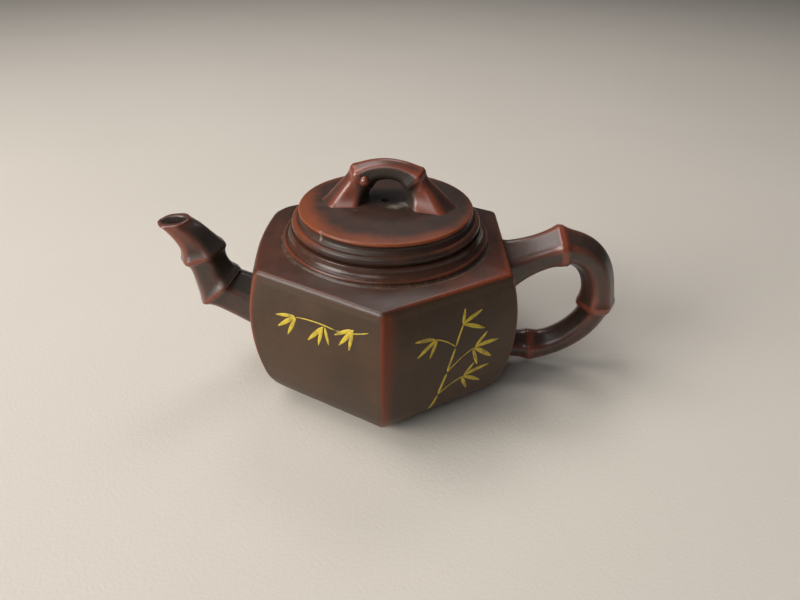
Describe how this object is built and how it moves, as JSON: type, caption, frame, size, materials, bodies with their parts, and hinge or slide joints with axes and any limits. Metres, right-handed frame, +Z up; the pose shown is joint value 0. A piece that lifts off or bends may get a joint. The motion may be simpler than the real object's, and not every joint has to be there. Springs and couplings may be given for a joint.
{
  "type": "teapot",
  "caption": "Hexagonal unglazed clay teapot with bowed walls, bamboo-shaped spout, ear handle and bridge knob, and a round lift-off lid with a vent.",
  "frame": {"origin": "centre of the base, on the table", "axes": "+Z up, +X towards the handle, -X towards the spout, -Y towards the front arris"},
  "size_m": [0.1584, 0.0982, 0.0809],
  "materials": {
    "clay_wall": "satin grey-brown clay",
    "clay_shoulder": "satin red-brown clay",
    "clay_lid": "satin red-brown clay",
    "clay_stem": "satin red-brown clay",
    "clay_bud": "glossy red clay",
    "clay_inside": "matt brown clay"
  },
  "bodies": {
    "pot": {"wall_handle_side": "clay_wall", "wall_back_right": "clay_wall", "wall_back_left": "clay_wall", "wall_spout_side": "clay_wall", "wall_front_left": "clay_wall", "wall_front_right": "clay_wall", "base_slab": "clay_wall", "shoulder_slab": "clay_shoulder", "neck_ring": "clay_shoulder", "mouth_rim": "clay_shoulder", "spout": "clay_stem", "strainer": "clay_inside", "handle": "clay_stem"},
    "lid": {"lid_plate": "clay_lid", "lid_ring": "clay_lid", "lid_flange": "clay_inside", "knob": "clay_stem", "knob_bud": "clay_bud"}
  },
  "joints": [
    {"name": "lid_lift", "type": "slide", "parent": "pot", "child": "lid", "axis": [0, 0, 1], "range_m": [0, 0.06]}
  ]
}
